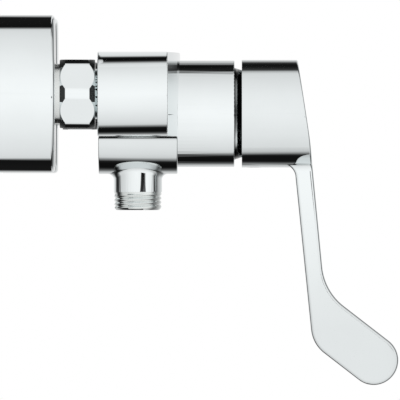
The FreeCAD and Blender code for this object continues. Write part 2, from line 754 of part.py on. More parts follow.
def cap_depth(y):
    """How far below its axis the cap's round surface lies at y."""
    return math.sqrt(cap_r ** 2 - y ** 2)


def lever_front_view():
    """Front outline of the lever as (y, z, bend radius) corners: flared at the cap, narrower below."""
    half_top = lever_width / 2.0
    half_low = paddle_width / 2.0
    flare_y = half_top + lever_flare_span
    low_z = axis_z + paddle_z - 2.0 * paddle_r
    one_side = [
        (flare_y, axis_z, 0),
        (flare_y, axis_z - cap_depth(flare_y), 0),
        (half_top, axis_z - cap_depth(half_top), lever_flare_r),
        (half_low, low_z, 0),
    ]
    return one_side + [(-y, z, bend) for y, z, bend in reversed(one_side)]


def lever_plate():
    """Lever and paddle: where the side outline and the front outline meet, with rounded edges."""
    plate = Part.Face(rounded_outline(lever_corners())).extrude(Vector(0, 4.0 * lever_width, 0))
    plate.translate(Vector(0, -2.0 * lever_width, 0))
    front = rounded_outline(lever_front_view())
    front.rotate(Vector(0, 0, 0), Vector(0, 0, 1), 90)
    plate = plate.common(Part.Face(front).extrude(Vector(3.0 * cap_back_x, 0, 0))).removeSplitter()
    root_z = axis_z - cap_r / 2.0
    # what lies inside the cap stays sharp: the ends and sides of the flare, and level edges
    flare_y = lever_width / 2.0 + lever_flare_span
    long_edges = edges_where(plate, lambda edge, centre: centre.z < root_z
                             and paddle_width / 3.0 < abs(centre.y) < flare_y - fit_gap
                             and edge.BoundBox.YLength < lever_flare_span
                             and edge.BoundBox.XLength > fit_gap
                             and not (edge.BoundBox.ZLength < fit_gap and centre.z > axis_z - cap_r))
    return plate.makeFillet(lever_edge_round, long_edges)


def handle_front_cut():
    """Everything in front of the leaning face of the cap and lever."""
    slope = math.tan(math.radians(cap_face_lean))
    face_x = cap_back_x + cap_length
    corners = lever_corners()
    bend_x, bend_z = corners[1][0], corners[1][1]
    front_slope = math.tan(math.radians(lever_front_lean))
    top_z = axis_z + 2.0 * cap_r
    low_z = axis_z - 2.0 * cap_r
    outline = rounded_outline([
        (face_x - slope * (top_z - axis_z), top_z, 0),
        (bend_x, bend_z, front_bend_r),
        (bend_x + front_slope * (bend_z - low_z), low_z, 0),
        (face_x + cap_length, low_z, 0),
        (face_x + cap_length, top_z, 0),
    ])
    cut = Part.Face(outline).extrude(Vector(0, 4.0 * cap_r, 0))
    cut.translate(Vector(0, -2.0 * cap_r, 0))
    return cut


def on_cap(edge):
    """True for an edge that lies on the cap's round surface."""
    span = edge.LastParameter - edge.FirstParameter
    points = [edge.valueAt(edge.FirstParameter + share * span) for share in (0.0, 0.5, 1.0)]
    return all(abs(math.hypot(point.y, point.z - axis_z) - cap_r) < fit_gap for point in points)


def cap_hollow():
    """Space inside the cap: a mouth that clears the sleeve when tilted, and a deeper bore."""
    deep_x = cap_back_x + cap_bore_depth
    hollow = turned_x([
        (cap_back_x - 1, 0), (cap_back_x - 1, cap_mouth_r), (cap_back_x, cap_mouth_r),
        (cap_back_x + cap_mouth_taper, cap_bore_r), (deep_x - cap_mouth_taper, cap_bore_r),
        (deep_x, cap_bore_r - cap_mouth_taper), (deep_x, 0),
    ], 0, axis_z)
    boss = tilted(rod_x(boss_r, pivot_x + boss_back, deep_x + cap_r, 0, axis_z))
    return hollow.cut([boss, below_spindle(grub_pad_r, 0, cap_r)])


def below_spindle(radius, start, end):
    """A rod at the grub screw's place, square to the spindle, between two depths below its middle."""
    return tilted(rod_z(radius, axis_z - end, axis_z - start, pivot_x + grub_place))


def plug_depth():
    """Depth below the spindle's middle at which the grub screw's line leaves the cap."""
    lean = math.radians(closed_tilt)
    return (cap_r - grub_place * math.sin(lean)) / math.cos(lean)


def lever_handle():
    """Cap with a leaning face, boss and socket for the spindle, and the lever with its paddle."""
    cap = rod_x(cap_r, cap_back_x, cap_back_x + 2.0 * cap_length, 0, axis_z).cut(handle_front_cut())
    rims = edges_where(cap, lambda edge, centre: on_cap(edge) and centre.x > cap_back_x + 1
                       and edge.BoundBox.YLength > 1)
    cap = cap.makeFillet(cap_edge_round, rims)
    handle = joined([cap, lever_plate()])
    socket_half = stem_square / 2.0 + fit_gap
    socket = block((pivot_x, pivot_x + stem_reach + socket_end_gap), (-socket_half, socket_half),
                   (axis_z - socket_half, axis_z + socket_half))
    recess_depth = plug_depth() - plug_thickness
    grub_hole = below_spindle(grub_r + fit_gap, 0, recess_depth + fit_gap)
    recess = below_spindle(plug_r + fit_gap, recess_depth, 2.0 * cap_r)
    return handle.cut([cap_hollow(), tilted(socket), grub_hole, recess])


def grub_screw():
    """Short set screw with a hexagon socket, from the spindle's flat downwards."""
    start = stem_square / 2.0 + fit_gap
    end = start + grub_length
    screw = rod_x(grub_r, start, end)
    screw = screw.cut(hexagon_x(grub_key_flats, end - grub_key_depth, end + 1))
    screw.rotate(Vector(0, 0, 0), Vector(0, 1, 0), 90)
    screw.translate(Vector(pivot_x + grub_place, 0, axis_z))
    return tilted(screw)


def index_plug():
    """Plain plug, flush with the cap, over the grub screw."""
    plug = below_spindle(plug_r, plug_depth() - plug_thickness + fit_gap, 2.0 * cap_r)
    return plug.common(rod_x(cap_r, cap_back_x, cap_back_x + cap_length, 0, axis_z))


def seal_ring_z(bore_r, wire_r, z, x=outlet_x):
    """A round rubber ring lying in a bore of radius bore_r."""
    middle_r = bore_r - wire_r - seal_gap
    return Part.makeTorus(middle_r, wire_r, Vector(x, 0, z), Vector(0, 0, 1))


def seal_groove_z(bore_r, wire_r, z, x=outlet_x):
    """The groove that such a ring lies in."""
    floor_r = bore_r - 2.0 * (wire_r + seal_gap)
    half = wire_r + seal_gap
    return rod_z(bore_r + 1, z - half, z + half, x).cut(rod_z(floor_r, z - half, z + half, x))


def outlet_nipple():
    """Threaded outlet with a spigot that goes up into the stub."""
    nipple = turned_z([
        (outlet_bore_r, outlet_end_z), (outlet_thread_r - outlet_thread_chamfer, outlet_end_z),
        (outlet_thread_r, outlet_end_z + outlet_thread_chamfer), (outlet_thread_r, stub_end_z),
        (spigot_r, stub_end_z), (spigot_r, spigot_top_z), (outlet_bore_r, spigot_top_z),
    ], outlet_x)
    return nipple.cut(seal_groove_z(stub_bore_r, outlet_ring_wire_r, spigot_top_z - outlet_ring_place))


def valve_groove_z():
    return (valve_top_z + seat_under_z) / 2.0


def check_valve_housing():
    """Sleeve with a seat at the top and a three-armed guide at the bottom."""
    bore_r = valve_r - valve_wall
    shell = turned_z([
        (bore_r, valve_low_z), (valve_r, valve_low_z), (valve_r, valve_top_z),
        (valve_seat_r, valve_top_z), (valve_seat_r, seat_under_z), (bore_r, seat_under_z),
    ], outlet_x)
    hub = rod_z(spider_hub_r, valve_low_z, spider_top_z, outlet_x)
    arm = block((outlet_x, outlet_x + bore_r + fit_gap), (-spider_arm_half, spider_arm_half),
                (valve_low_z, spider_top_z))
    arms = []
    for turn in (0, 120, 240):
        copy = arm.copy()
        copy.rotate(Vector(outlet_x, 0, 0), Vector(0, 0, 1), turn)
        arms.append(copy)
    housing = joined([shell, hub] + arms)
    hole = rod_z(poppet_stem_r + running_gap, valve_low_z - 1, spider_top_z + 1, outlet_x)
    return housing.cut([hole, seal_groove_z(stub_bore_r, valve_ring_wire_r, valve_groove_z())])


def check_valve_poppet():
    """Round head under the seat, on a guided stem."""
    stem_end_z = valve_low_z - spider_thickness
    edge = poppet_thickness / 3.0
    return turned_z([
        (0, stem_end_z), (poppet_stem_r, stem_end_z), (poppet_stem_r, poppet_low_z),
        (poppet_r, poppet_low_z), (poppet_r, poppet_top_z - edge), (poppet_r - edge, poppet_top_z),
        (0, poppet_top_z),
    ], outlet_x)


def check_valve_spring():
    """Coil between the guide and the poppet's head."""
    low = spider_top_z + spring_wire_r + seal_gap
    high = poppet_low_z - spring_wire_r - seal_gap
    pitch = (high - low) / spring_turns
    path = Part.makeHelix(pitch, high - low, spring_coil_r)
    path.translate(Vector(outlet_x, 0, low))
    start = Vector(outlet_x + spring_coil_r, 0, low)
    wire = Part.Wire(Part.makeCircle(spring_wire_r, start, Vector(0, 1, 0)))
    return Part.Wire(path.Edges).makePipeShell([wire], True, True)


def parts():
    """Every sub-part by name."""
    made = {}
    for name, y in leg_places.items():
        made[f"wall_union_{name}"] = wall_union(y)
        made[f"wall_rosette_{name}"] = wall_rosette(y)
        made[f"union_nut_{name}"] = union_nut(y)
        made[f"filter_washer_{name}"] = filter_washer(y)
        made[f"inlet_nipple_{name}"] = inlet_nipple(y)
    made["mixer_body"] = mixer_body()
    made["cartridge_base"] = cartridge_base()
    made["port_seals"] = port_seals()
    made["fixed_disc"] = fixed_disc()
    made["moving_disc"] = moving_disc()
    made["disc_slider"] = disc_slider()
    made["cartridge_housing"] = cartridge_housing()
    made["spindle_carrier"] = spindle_carrier()
    made["temperature_stop_ring"] = temperature_stop_ring()
    made["pivot_pin"] = pivot_pin()
    made["spindle"] = spindle()
    made["clamp_nut"] = clamp_nut()
    made["cover_ring"] = cover_ring()
    made["lever_handle"] = lever_handle()
    made["grub_screw"] = grub_screw()
    made["index_plug"] = index_plug()
    made["outlet_nipple"] = outlet_nipple()
    ring_z = spigot_top_z - outlet_ring_place
    made["outlet_ring_seal"] = seal_ring_z(stub_bore_r, outlet_ring_wire_r, ring_z)
    made["check_valve_housing"] = check_valve_housing()
    made["check_valve_ring_seal"] = seal_ring_z(stub_bore_r, valve_ring_wire_r, valve_groove_z())
    made["check_valve_poppet"] = check_valve_poppet()
    made["check_valve_spring"] = check_valve_spring()
    return made


for part_name, part_shape in parts().items():
    save(part_name, part_shape)
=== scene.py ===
import json
import math

import bmesh
import bpy
import numpy as np
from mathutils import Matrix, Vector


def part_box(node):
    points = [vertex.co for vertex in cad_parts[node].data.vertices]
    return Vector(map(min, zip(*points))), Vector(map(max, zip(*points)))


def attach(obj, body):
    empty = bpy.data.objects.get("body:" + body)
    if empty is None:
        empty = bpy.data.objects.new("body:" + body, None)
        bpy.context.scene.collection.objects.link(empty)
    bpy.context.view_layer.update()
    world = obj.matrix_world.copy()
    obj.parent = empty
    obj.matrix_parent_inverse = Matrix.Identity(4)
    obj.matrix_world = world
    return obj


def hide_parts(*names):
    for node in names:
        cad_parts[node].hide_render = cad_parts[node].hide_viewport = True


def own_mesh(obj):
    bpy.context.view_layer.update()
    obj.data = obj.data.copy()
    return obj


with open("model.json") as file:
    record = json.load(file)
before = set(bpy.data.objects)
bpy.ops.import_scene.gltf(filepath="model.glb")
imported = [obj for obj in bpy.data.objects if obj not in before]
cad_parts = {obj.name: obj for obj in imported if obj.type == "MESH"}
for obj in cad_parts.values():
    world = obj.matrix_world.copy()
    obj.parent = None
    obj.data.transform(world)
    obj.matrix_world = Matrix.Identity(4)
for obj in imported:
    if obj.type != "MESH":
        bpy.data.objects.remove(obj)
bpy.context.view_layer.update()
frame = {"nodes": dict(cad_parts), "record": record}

MM = 0.001
TURN = 2.0 * math.pi
WHITE = (1.0, 1.0, 1.0, 1.0)


# Where the CAD put things

def node_box(name):
    """The lowest and the highest corner of a CAD node."""
    low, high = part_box(name)
    return np.array(low), np.array(high)


def halfway(low, high, axis):
    return float(low[axis] + high[axis]) / 2.0


sides = ("left", "right")
rosette_low, rosette_high = node_box("wall_rosette_left")
body_low, _ = node_box("mixer_body")
ring_low, ring_high = node_box("cover_ring")
handle_low, handle_high = node_box("lever_handle")
outlet_low, outlet_high = node_box("outlet_nipple")
near_leg_y = halfway(rosette_low, rosette_high, 1)
inlet_z = halfway(rosette_low, rosette_high, 2)
ring_z = halfway(ring_low, ring_high, 2)
outlet_x = halfway(outlet_low, outlet_high, 0)
body_back = float(body_low[0])
ring_back = float(ring_low[0])
ring_front = float(ring_high[0])
handle_back = float(handle_low[0])
paddle_z = float(handle_low[2])

# Radii of the round forms of body and cap
bar_end_r = 19.0 * MM
sleeve_r = 23.5 * MM
cap_r = 23.8 * MM
stub_r = 10.7 * MM


# Shader helpers

class Nodes:
    """A node tree with short calls for adding nodes and joining sockets."""

    def __init__(self, tree):
        self.tree = tree

    def add(self, kind, **settings):
        node = self.tree.nodes.new(kind)
        for name, value in settings.items():
            setattr(node, name, value)
        return node

    def join(self, source, target):
        self.tree.links.new(source, target)

    def math(self, operation, first, second=None, clamp=False):
        node = self.add("ShaderNodeMath", operation=operation, use_clamp=clamp)
        for socket, value in zip(node.inputs, (first, second)):
            if value is None:
                continue
            if isinstance(value, (int, float)):
                socket.default_value = value
            else:
                self.join(value, socket)
        return node.outputs[0]

    def ramp(self, factor, stops):
        """A colour ramp through (place, grey) stops."""
        node = self.add("ShaderNodeValToRGB")
        elements = node.color_ramp.elements
        while len(elements) < len(stops):
            elements.new(0.5)
        for element, (place, grey) in zip(elements, stops):
            element.position = place
            element.color = (grey, grey, grey, 1.0)
        self.join(factor, node.inputs[0])
        return node.outputs[0]

    def noise(self, vector, scale, detail=2.0, roughness=0.5, distortion=0.0):
        node = self.add("ShaderNodeTexNoise")
        node.inputs["Scale"].default_value = scale
        node.inputs["Detail"].default_value = detail
        node.inputs["Roughness"].default_value = roughness
        node.inputs["Distortion"].default_value = distortion
        self.join(vector, node.inputs["Vector"])
        return node.outputs[0]

    def stretched(self, vector, scale, rotation=(0.0, 0.0, 0.0)):
        """Coordinates stretched and turned, so that a pattern runs in lines."""
        node = self.add("ShaderNodeMapping")
        node.inputs["Scale"].default_value = scale
        node.inputs["Rotation"].default_value = rotation
        self.join(vector, node.inputs["Vector"])
        return node.outputs[0]

    def tinted(self, color, shares):
        """A colour times a grey that changes over the surface."""
        node = self.add("ShaderNodeMix", data_type="RGBA", blend_type="MULTIPLY")
        node.inputs[0].default_value = 1.0
        self.join(color, node.inputs[6])
        self.join(shares, node.inputs[7])
        return node.outputs[2]

    def bumped(self, height, strength, distance):
        node = self.add("ShaderNodeBump")
        node.inputs["Distance"].default_value = distance
        self.join(strength, node.inputs["Strength"])
        self.join(height, node.inputs["Height"])
        return node.outputs[0]

    def object_place(self):
        """Texture Coordinate's Object socket."""
        return self.add("ShaderNodeTexCoord").outputs["Object"]

    def split(self, vector):
        """The x, y and z of a vector."""
        node = self.add("ShaderNodeSeparateXYZ")
        self.join(vector, node.inputs[0])
        return node.outputs

    def mixed(self, share, first, second):
        """Two shaders, the second one by its share."""
        node = self.add("ShaderNodeMixShader")
        self.join(share, node.inputs[0])
        self.join(first, node.inputs[1])
        self.join(second, node.inputs[2])
        return node.outputs[0]

    def surface(self, shader, output="ShaderNodeOutputMaterial"):
        self.join(shader, self.add(output).inputs["Surface"])


def linear(level):
    """An sRGB level of 0 to 255 as linear light."""
    share = level / 255.0
    return share / 12.92 if share <= 0.04045 else ((share + 0.055) / 1.055) ** 2.4


def new_group(name, inputs):
    """A shader group from a colour and the (name, default) inputs to a colour, a roughness and a normal."""
    group = bpy.data.node_groups.new(name, "ShaderNodeTree")
    color = group.interface.new_socket(name="Color", in_out="INPUT", socket_type="NodeSocketColor")
    color.default_value = (0.6, 0.6, 0.6, 1.0)
    for title, value in inputs:
        socket = group.interface.new_socket(name=title, in_out="INPUT", socket_type="NodeSocketFloat")
        socket.default_value = value
    for title, kind in (("Color", "Color"), ("Roughness", "Float"), ("Normal", "Vector")):
        group.interface.new_socket(name=title, in_out="OUTPUT", socket_type=f"NodeSocket{kind}")
    nodes = Nodes(group)
    return group, nodes, nodes.add("NodeGroupInput").outputs, nodes.add("NodeGroupOutput").inputs


def polish_group():
    """Finish of polished metal: colour with faint clouds, roughness with wiped smudges, hairline bump.

    The roughness is the given one plus the smudges' share of a smeared noise, less the noise's middle. The
    hairlines are a noise drawn out so long that it runs in lines.
    """
    cloud_scale, cloud_stops = 45.0, [(0.3, 0.975), (0.7, 1.0)]
    wipe_stretch, wipe_scale, wipe_middle = (12.0, 70.0, 180.0), 3.0, 0.45
    hairline_stretch, hairline_turn, hairline_height = (60.0, 900.0, 2600.0), (0.2, 0.35, 0.15), 0.00002
    group, nodes, given, result = new_group(
        "polished_finish", [("Roughness", 0.05), ("Smudges", 0.03), ("Hairlines", 0.02)])
    place = nodes.object_place()
    clouds = nodes.ramp(nodes.noise(place, cloud_scale, detail=3.0, roughness=0.55), cloud_stops)
    nodes.join(nodes.tinted(given["Color"], clouds), result["Color"])
    smears = nodes.noise(nodes.stretched(place, wipe_stretch), wipe_scale, detail=4.0, roughness=0.6,
                         distortion=0.6)
    spread = nodes.math("MULTIPLY", nodes.math("SUBTRACT", smears, wipe_middle), given["Smudges"])
    nodes.join(nodes.math("ADD", spread, given["Roughness"], clamp=True), result["Roughness"])
    scratches = nodes.noise(nodes.stretched(place, hairline_stretch, hairline_turn), 1.0, detail=3.0,
                            roughness=0.7)
    nodes.join(nodes.bumped(scratches, given["Hairlines"], hairline_height), result["Normal"])
    return group


def grain_group():
    """Finish of moulded pieces: colour flecks, uneven roughness and a fine leathery bump.

    The roughness is the given one plus a share of the flecks' noise, less the noise's middle.
    """
    cloud_scale, cloud_stops, cloud_middle = 90.0, [(0.25, 0.88), (0.75, 1.0)], 0.5
    unevenness, grain_height = 0.25, 0.00005
    group, nodes, given, result = new_group(
        "moulded_finish", [("Roughness", 0.5), ("Grain size", 1500.0), ("Grain", 0.2)])
    place = nodes.object_place()
    clouds = nodes.noise(place, cloud_scale, detail=4.0, roughness=0.6)
    nodes.join(nodes.tinted(given["Color"], nodes.ramp(clouds, cloud_stops)), result["Color"])
    uneven = nodes.math("MULTIPLY", nodes.math("SUBTRACT", clouds, cloud_middle), unevenness)
    nodes.join(nodes.math("ADD", uneven, given["Roughness"], clamp=True), result["Roughness"])
    grains = nodes.add("ShaderNodeTexNoise")
    grains.inputs["Detail"].default_value = 2.0
    nodes.join(place, grains.inputs["Vector"])
    nodes.join(given["Grain size"], grains.inputs["Scale"])
    nodes.join(nodes.bumped(grains.outputs[0], given["Grain"], grain_height), result["Normal"])
    return group


polished_finish = polish_group()
moulded_finish = grain_group()


def new_material(name):
    material = bpy.data.materials.new(name)
    material.use_nodes = True
    material.node_tree.nodes.clear()
    return material, Nodes(material.node_tree)


def finish_material(name, group, color, metallic, values):
    """A Principled material whose colour, roughness and normal come from a finish group."""
    material, nodes = new_material(name)
    finish = nodes.add("ShaderNodeGroup", node_tree=group)
    finish.inputs["Color"].default_value = (*color, 1.0)
    for title, value in values.items():
        finish.inputs[title].default_value = value
    shader = nodes.add("ShaderNodeBsdfPrincipled")
    shader.inputs["Metallic"].default_value = metallic
    nodes.join(finish.outputs["Color"], shader.inputs["Base Color"])
    nodes.join(finish.outputs["Roughness"], shader.inputs["Roughness"])
    nodes.join(finish.outputs["Normal"], shader.inputs["Normal"])
    nodes.surface(shader.outputs[0])
    return material


def polished(name, color, roughness, smudges, hairlines):
    values = {"Roughness": roughness, "Smudges": smudges, "Hairlines": hairlines}
    return finish_material(name, polished_finish, color, 1.0, values)


def moulded(name, color, roughness, grain_size, grain):
    values = {"Roughness": roughness, "Grain size": grain_size, "Grain": grain}
    return finish_material(name, moulded_finish, color, 0.0, values)


chrome = (0.797, 0.833, 0.838)  # the light that the plate gives back, a little cool
materials = {
    "chrome": polished("chrome_plate", chrome, 0.02, 0.03, 0.03),
    "chrome_thread": polished("chrome_on_thread", (0.74, 0.77, 0.76), 0.14, 0.1, 0.2),
    "chrome_union": polished("chrome_on_union", (0.72, 0.74, 0.73), 0.2, 0.12, 0.3),
    "brass": polished("turned_brass", (0.72, 0.56, 0.30), 0.25, 0.15, 0.6),
    "steel": polished("turned_steel", (0.55, 0.55, 0.56), 0.28, 0.15, 0.6),
    "rubber": moulded("seal_rubber", (0.035, 0.035, 0.036), 0.6, 900.0, 0.25),
    "cartridge_plastic": moulded("cartridge_plastic", (0.80, 0.80, 0.78), 0.45, 1800.0, 0.15),
    "carrier_plastic": moulded("carrier_plastic", (0.15, 0.15, 0.16), 0.42, 1800.0, 0.15),
    "plug_plastic": moulded("plug_plastic", (0.50, 0.51, 0.52), 0.3, 2500.0, 0.08),
    "ceramic": moulded("lapped_ceramic", (0.88, 0.87, 0.84), 0.22, 4000.0, 0.05),
}
# Painted shade: near-black chrome for the nuts' turned corners, for the dark neighbours they mirror
nut_end_painted_shade = polished("chrome_painted_shade", (0.05, 0.052, 0.052), 0.3, 0.05, 0.02)
# Chrome for the lever, into whose colour shade is painted below
lever_chrome_painted_shade = polished("chrome_on_lever_painted_shade", chrome, 0.03, 0.03, 0.03)
# Chrome for the cover ring, into whose colour shade and reflections are painted below
gap_ring_painted_shade = polished("chrome_in_gap_painted_shade", chrome, 0.12, 0.05, 0.0)
neck_chrome = polished("chrome_on_neck", chrome, 0.04, 0.03, 0.0)


def paint_shade_along(material, axis, start, stops):
    """Paint shade into a material's colour along one axis of the frame, by (millimetres from the start, share)
    stops.
    """
    nodes = Nodes(material.node_tree)
    shader = next(node for node in material.node_tree.nodes if node.bl_idname == "ShaderNodeBsdfPrincipled")
    plain = shader.inputs["Base Color"].links[0].from_socket
    first, last = (start + stops[end][0] * MM for end in (0, -1))
    along = nodes.math("SUBTRACT", nodes.split(nodes.object_place())[axis], first)
    places = nodes.math("MULTIPLY", along, 1.0 / (last - first))
    shares = [((start + place * MM - first) / (last - first), share) for place, share in stops]
    nodes.join(nodes.tinted(plain, nodes.ramp(places, shares)), shader.inputs["Base Color"])


# Painted shade on the lever: the colour darkens towards the paddle and in a belt round the cap, for the dimmer
# reflections there
cap_above_paddle = (ring_z - paddle_z) / MM
paint_shade_along(lever_chrome_painted_shade, 2, paddle_z, [
    (25.0, 0.84), (45.0, 0.9), (90.0, 1.0),
    *[(cap_above_paddle + rise, share) for rise, share in (
        (-18.5, 1.0), (-14.0, 0.95), (-7.0, 0.91), (0.0, 0.9), (7.0, 0.94), (11.0, 0.965), (15.5, 1.0))],
])
# Painted shade on the cover ring: near-black along most of its length, for the dark gap between sleeve and cap
paint_shade_along(gap_ring_painted_shade, 0, ring_front, [
    (-4.4, 0.32), (-3.8, 0.32), (-3.65, 1.0), (-2.9, 1.0), (-2.75, 0.004), (-1.95, 0.004), (-1.8, 0.12),
    (0.0, 0.12),
])
# Painted reflection on the cover ring: light and dark bands round its height, like mirrored bands
paint_shade_along(gap_ring_painted_shade, 2, ring_z, [
    (-17.0, 0.04), (-15.5, 0.4), (-13.0, 1.0), (-11.2, 1.0), (-9.3, 0.73), (-7.6, 0.45), (-5.8, 0.3),
    (-2.3, 0.15), (1.2, 0.08), (3.0, 0.12), (6.6, 0.27), (10.0, 0.33), (13.6, 0.27), (16.4, 0.08), (19.0, 0.3),
])

slot_of = {part["node"]: part["material_slot"] for part in frame["record"]["subparts"]}
body_of = {node: body for body, nodes in frame["record"]["behaviour"]["bodies"].items() for node in nodes}
for node, obj in frame["nodes"].items():
    obj.data.materials.clear()
    obj.data.materials.append(materials[slot_of[node]])


# Pieces

def finished(name, mesh, node, sharp_degrees=35.0):
    """Put a mesh in the scene as the piece that stands for a CAD node, smooth but for its sharp edges."""
    mesh.shade_smooth()
    mesh.set_sharp_from_angle(angle=math.radians(sharp_degrees))
    obj = bpy.data.objects.new(name, mesh)
    bpy.context.scene.collection.objects.link(obj)
    mesh.materials.clear()
    mesh.materials.append(materials[slot_of[node]])
    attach(obj, body_of[node])
    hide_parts(node)
    return obj


def cad_form(name, node, sharp_degrees=32.0):
    """A copy of a CAD node with its loose triangles merged, so that round faces shade as round."""
    mesh = frame["nodes"][node].data.copy()
    mesh.name = name
    shape = bmesh.new()
    shape.from_mesh(mesh)
    bmesh.ops.remove_doubles(shape, verts=shape.verts, dist=0.001 * MM)
    shape.to_mesh(mesh)
    shape.free()
    obj = finished(name, mesh, node, sharp_degrees)
    weights = obj.modifiers.new("face_weights", "WEIGHTED_NORMAL")
    weights.keep_sharp = True
    weights.weight = 100
    return obj


def loop_of_rings(name, node, rings):
    """A closed surface through rings of points, the last ring joined to the first.

    rings has the shape (rings, points, 3) in the frame's own metres; neighbours are joined by four-sided
    faces, turned outwards. The order of the rings runs down the inside and up the outside, so the surface
    has no ends.
    """
    count, points = rings.shape[:2]
    ring = np.arange(count)[:, None]
    place = np.arange(points)[None, :]
    next_ring, next_place = (ring + 1) % count, (place + 1) % points
    corners = [ring * points + place, ring * points + next_place,
               next_ring * points + next_place, next_ring * points + place]
    faces = np.stack(corners, axis=-1).reshape(-1, 4)
    mesh = bpy.data.meshes.new(name)
    mesh.vertices.add(count * points)
    mesh.vertices.foreach_set("co", rings.reshape(-1).astype(np.float32))
    mesh.loops.add(faces.size)
    mesh.loops.foreach_set("vertex_index", faces.reshape(-1).astype(np.int32))
    mesh.polygons.add(len(faces))
    mesh.polygons.foreach_set("loop_start", np.arange(0, faces.size, 4, dtype=np.int32))
    mesh.update(calc_edges=True)
    shape = bmesh.new()
    shape.from_mesh(mesh)
    bmesh.ops.recalc_face_normals(shape, faces=shape.faces)
    shape.to_mesh(mesh)
    shape.free()
    return finished(name, mesh, node)


def thread_depth(along, turn, start, end, pitch, depth):
    """How deep a thread cuts at each place: a blunted V that winds once per pitch and runs out at both ends.

    The V is the distance from the nearest crest line, in parts of half a pitch, on a helix whose place moves
    one pitch along for each turn. That distance times the steepness, less the crest's share, is the share of
    the depth that is cut, held between nothing and all of it, so that crest and root are narrow flats. The
    cut fades in over one pitch at each end.
    """
    steepness, crest_share = 1.25, 0.1
    phase = (along / pitch - turn / TURN) % 1.0
    from_crest = 1.0 - np.abs(2.0 * phase - 1.0)
    cut = np.minimum(1.0, np.maximum(0.0, steepness * from_crest - crest_share))
    fade = np.clip(np.minimum(along - start, end - along) / pitch, 0.0, 1.0)
    return depth * cut * fade


def spaced(low, high, step):
    """Evenly spaced places from low to high, both kept, about one step apart."""
    return np.linspace(low, high, max(2, int(round((high - low) / step)) + 1))


def outlet_with_thread():
    """The outlet nipple with its parallel pipe thread: a turned profile whose outside is cut by the helix."""
    outer = float((outlet_high[0] - outlet_low[0]) / 2.0)
    low, high = float(outlet_low[2]), float(outlet_high[2])
    threaded_length, pitch, depth, run_out = 8.0 * MM, 1.814 * MM, 0.55 * MM, 0.2 * MM
    bore, spigot, bevel, edge = 6.0 * MM, 8.65 * MM, 1.0 * MM, 0.15 * MM
    groove_low, groove_high, groove_r = high - 3.03 * MM, high - 1.37 * MM, spigot - 1.61 * MM
    shoulder = low + threaded_length
    inside = [
        (bore, high - edge), (bore, high - 2.0 * edge), (bore, low + 2.0 * edge), (bore, low + edge),
        (bore + edge, low), (bore + 2.0 * edge, low),
        (outer - bevel - edge, low), (outer - bevel, low + 0.2 * edge),
    ]
    threaded = [(outer, z) for z in spaced(low + bevel, shoulder - edge, 0.07 * MM)]
    above = [
        (outer - 0.5 * edge, shoulder), (outer - 1.5 * edge, shoulder),
        (spigot + edge, shoulder), (spigot, shoulder + edge), (spigot, shoulder + 2.0 * edge),
        (spigot, groove_low - edge), (spigot, groove_low), (groove_r, groove_low), (groove_r, groove_high),
        (spigot, groove_high), (spigot, groove_high + edge),
        (spigot, high - 2.0 * edge), (spigot, high - edge), (spigot - edge, high), (bore + edge, high),
    ]
    profile = inside + threaded + above
    around = np.linspace(0.0, TURN, 192, endpoint=False)[None, :]
    radius = np.array([r for r, _ in profile])[:, None] + 0.0 * around
    along = np.array([z for _, z in profile])[:, None] + 0.0 * around
    cut = thread_depth(along, around, low + run_out, shoulder, pitch, depth)
    first, last = len(inside), len(inside) + len(threaded)
    radius[first:last] -= cut[first:last]
    rings = np.stack([outlet_x + radius * np.cos(around), radius * np.sin(around), along], axis=-1)
    return loop_of_rings("outlet_nipple_threaded", "outlet_nipple", rings)


def paint_shade_on_bevels(obj, node):
    """Paint shade onto the turned ends of a nut at its corners: a near-black colour that stands in for the
    dark neighbours they mirror.

    A face is on a turned end where its middle lies outside the thread and the end-on share of its normal is
    between the least and the most lean; it is at a corner where it faces nearly level or steeply up or down.
    """
    outside_r, least_lean, most_lean = 14.3 * MM, 0.3, 0.8
    level_degrees, steep_degrees = 14.0, 48.0
    mesh = obj.data
    mesh.materials.append(nut_end_painted_shade)
    normals = np.empty(len(mesh.polygons) * 3)
    mesh.polygons.foreach_get("normal", normals)
    x, y, z = np.abs(normals.reshape(-1, 3)).T
    middles = np.empty(len(mesh.polygons) * 3)
    mesh.polygons.foreach_get("center", middles)
    low, high = node_box(node)
    middles = middles.reshape(-1, 3) - (low + high) / 2.0
    outside = np.hypot(middles[:, 1], middles[:, 2]) > outside_r
    upward = np.degrees(np.arctan2(z, y))
    at_corner = (upward < level_degrees) | (upward > steep_degrees)
    shaded = (x > least_lean) & (x < most_lean) & outside & at_corner
    mesh.polygons.foreach_set("material_index", shaded.astype(np.int32))


def with_own_material(obj, material):
    """Give a piece a material of its own beside the one of its slot: a chrome of another roughness, or chrome
    with painted shade.
    """
    obj.data.materials.clear()
    obj.data.materials.append(material)


def crisp_sleeve(obj, sleeve_from, rims_from):
    """Sharpen the line where the sleeve meets the rest of the body, and smooth the narrow rims.

    A face is on the sleeve where all its corners lie beyond sleeve_from and at the sleeve's radius from its
    axis. The rims that are smoothed lie beyond rims_from, and their faces are narrow: a face's width is twice
    its area over its longest side.
    """
    tolerance, narrow_width, smooth_angle = 0.03 * MM, 0.6 * MM, math.radians(40.0)
    shape = bmesh.new()
    shape.from_mesh(obj.data)
    on_sleeve, narrow = {}, {}
    for face in shape.faces:
        on_sleeve[face.index] = all(
            vertex.co.x > sleeve_from
            and abs(math.hypot(vertex.co.y, vertex.co.z - ring_z) - sleeve_r) < tolerance
            for vertex in face.verts)
        width = 2.0 * face.calc_area() / max(edge.calc_length() for edge in face.edges)
        narrow[face.index] = face.calc_center_median().x > rims_from and width < narrow_width
    for edge in shape.edges:
        beside = [face.index for face in edge.link_faces]
        beside_narrow = any(narrow[index] for index in beside)
        count = sum(on_sleeve[index] for index in beside)
        if 0 < count < len(beside) and not beside_narrow:
            edge.smooth = False
        elif beside_narrow and count < len(beside) and edge.calc_face_angle(0.0) < smooth_angle:
            edge.smooth = True
    shape.to_mesh(obj.data)
    shape.free()


